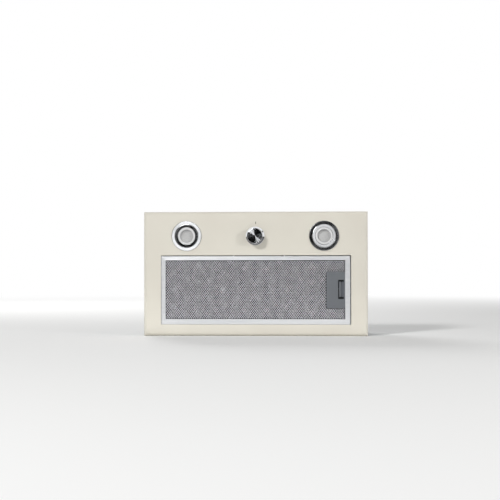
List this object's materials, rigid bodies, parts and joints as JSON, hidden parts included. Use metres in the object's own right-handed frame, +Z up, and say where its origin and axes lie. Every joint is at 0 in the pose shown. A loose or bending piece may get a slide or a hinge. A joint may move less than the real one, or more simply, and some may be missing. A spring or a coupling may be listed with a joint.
{
  "type": "under cabinet range hood",
  "caption": "Built-in range hood with a cream flanged panel, a round selector knob, recessed lamps, a hinged mesh grease filter, and a boxed blower with a round outlet and flaps.",
  "frame": {"origin": "on the surface the hood stands on, under the middle of its bounding box, with the hood standing on the wall-side edge of its flange", "axes": "+Z up in that standing pose, which points to the front of the cabinet in use; the underside with lamps, knob and filter faces -Y, which points down at the hob in use; +X is to the right of someone who faces the underside; the outlet faces +Y"},
  "size_m": [0.52, 0.2106, 0.288],
  "materials": {
    "enamel": "satin cream enamel",
    "galvanised": "galvanised sheet",
    "spring_steel": "spring steel",
    "steel": "zinc plated",
    "copper": "varnished windings",
    "black_plastic": "moulded, matt",
    "grey_plastic": "moulded, matt",
    "white_plastic": "moulded, satin",
    "chrome": "polished",
    "spun_metal": "spun in fine rings",
    "lens": "frosted",
    "board": "white solder resist",
    "aluminium": "satin anodised",
    "mesh": "expanded mesh",
    "latch_plastic": "moulded, satin"
  },
  "bodies": {
    "hood": {"face_panel": "enamel", "housing_rear_wall": "galvanised", "housing_front_wall": "galvanised", "housing_left_wall": "galvanised", "housing_right_wall": "galvanised", "housing_top_plate": "galvanised", "motor_shell_front": "galvanised", "motor_shell_rear": "galvanised", "motor_bracket": "galvanised", "capacitor_clip": "galvanised", "side_spring_left": "spring_steel", "side_spring_right": "spring_steel", "flap_pin": "steel", "outlet_screw_1": "steel", "outlet_screw_2": "steel", "outlet_screw_3": "steel", "outlet_screw_4": "steel", "motor_bearing_front": "steel", "motor_bearing_rear": "steel", "switch_nut": "steel", "motor_stator": "copper", "cable_gland": "black_plastic", "cable_gland_nut": "black_plastic", "outlet_collar": "black_plastic", "scroll_shell_left": "black_plastic", "scroll_shell_right": "black_plastic", "switch_body": "black_plastic", "terminal_box": "grey_plastic", "terminal_box_lid": "grey_plastic", "capacitor": "white_plastic", "lamp_driver": "white_plastic", "lamp_bezel_left": "chrome", "lamp_bezel_right": "chrome", "lamp_ring_left": "chrome", "lamp_ring_right": "chrome", "knob_skirt": "chrome", "lamp_lens_left": "lens", "lamp_lens_right": "lens", "lamp_board_left": "board", "lamp_board_right": "board", "lamp_can_left": "aluminium", "lamp_can_right": "aluminium"},
    "impeller": {"impeller": "grey_plastic", "impeller_hub": "steel", "motor_shaft": "steel", "motor_rotor": "steel"},
    "flap_left": {"damper_flap_left": "grey_plastic"},
    "flap_right": {"damper_flap_right": "grey_plastic"},
    "selector": {"switch_spindle": "steel"},
    "knob": {"knob_body": "chrome", "knob_cap": "spun_metal"},
    "filter": {"filter_frame": "aluminium", "filter_mesh_front": "mesh", "filter_mesh_core": "mesh", "filter_mesh_rear": "mesh", "latch_plate": "latch_plastic", "latch_spring": "spring_steel", "filter_tab_lower": "aluminium", "filter_tab_upper": "aluminium"},
    "latch": {"latch_slider": "latch_plastic"}
  },
  "joints": [
    {"name": "impeller_spin", "type": "hinge", "parent": "hood", "child": "impeller", "pos_m": [0, 0.01375, 0.1], "axis": [-1, 0, 0], "continuous": true},
    {"name": "flap_left_swing", "type": "hinge", "parent": "hood", "child": "flap_left", "pos_m": [0, 0.08925, 0.15], "axis": [0, 0, -1], "range_deg": [0, 75], "stiffness_Nm_per_rad": 0.01, "springref_deg": -20.05},
    {"name": "flap_right_swing", "type": "hinge", "parent": "hood", "child": "flap_right", "pos_m": [0, 0.08925, 0.15], "axis": [0, 0, 1], "range_deg": [0, 75], "stiffness_Nm_per_rad": 0.01, "springref_deg": -20.05},
    {"name": "selector_turn", "type": "hinge", "parent": "hood", "child": "selector", "pos_m": [0, -0.08525, 0.2317], "axis": [0, 1, 0], "range_deg": [0, 135]},
    {"name": "knob_push", "type": "slide", "parent": "selector", "child": "knob", "axis": [0, 1, 0], "range_m": [0, 0.0015], "stiffness_N_per_m": 600, "springref_m": -0.002},
    {"name": "filter_swing", "type": "hinge", "parent": "hood", "child": "filter", "pos_m": [-0.2187, -0.08475, 0.106], "axis": [0, 0, -1], "range_deg": [0, 75]},
    {"name": "latch_slide", "type": "slide", "parent": "filter", "child": "latch", "axis": [-1, 0, 0], "range_m": [0, 0.005], "stiffness_N_per_m": 300, "springref_m": -0.002, "deforming": ["latch_spring"]}
  ]
}
